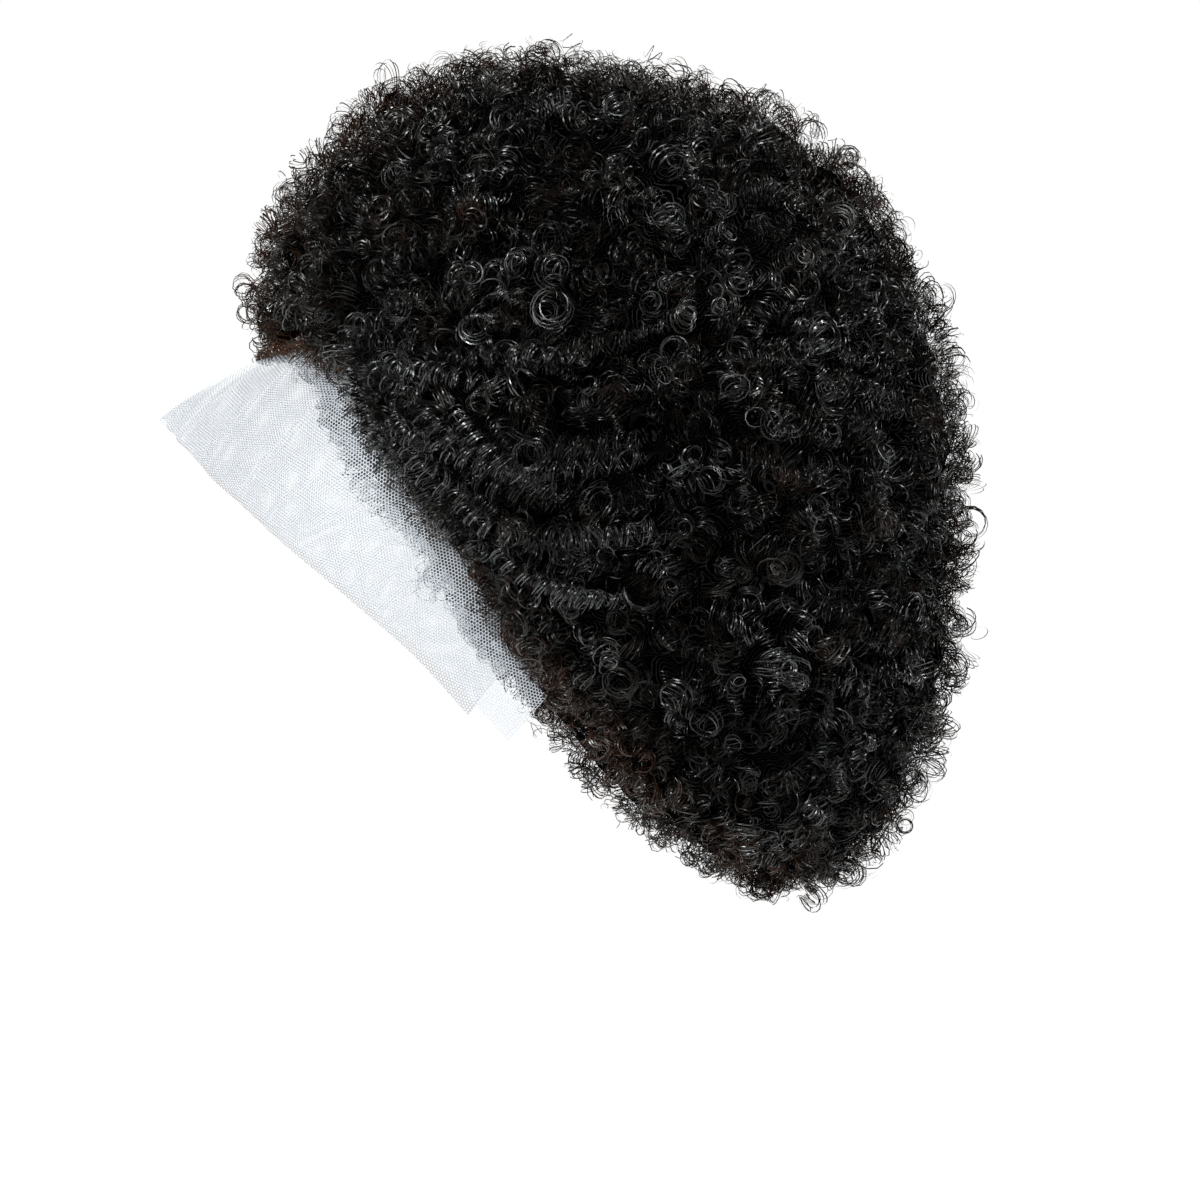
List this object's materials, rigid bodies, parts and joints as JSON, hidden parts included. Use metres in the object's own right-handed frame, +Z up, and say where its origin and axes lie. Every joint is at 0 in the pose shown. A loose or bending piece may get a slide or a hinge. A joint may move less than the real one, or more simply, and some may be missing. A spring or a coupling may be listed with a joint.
{
  "type": "afro wig",
  "caption": "Worn afro wig: a round mass of short tight curls, hollow for the head, on a thin cap with a sheer lace strip hanging free before the hairline.",
  "frame": {"origin": "inside the crown of the cap, where the wig rests on the top of the head", "axes": "+Z up, the wearer looks along -Y, +X is the wearer's left"},
  "size_m": [0.2795, 0.3212, 0.3287],
  "materials": {
    "cap_net": "fine black stretch net",
    "sheer_lace": "sheer fine net, pale",
    "curled_hair": "natural black curled hair"
  },
  "bodies": {
    "root": {"wig_cap": "cap_net", "lace_front": "sheer_lace", "hair": "curled_hair"}
  },
  "joints": []
}
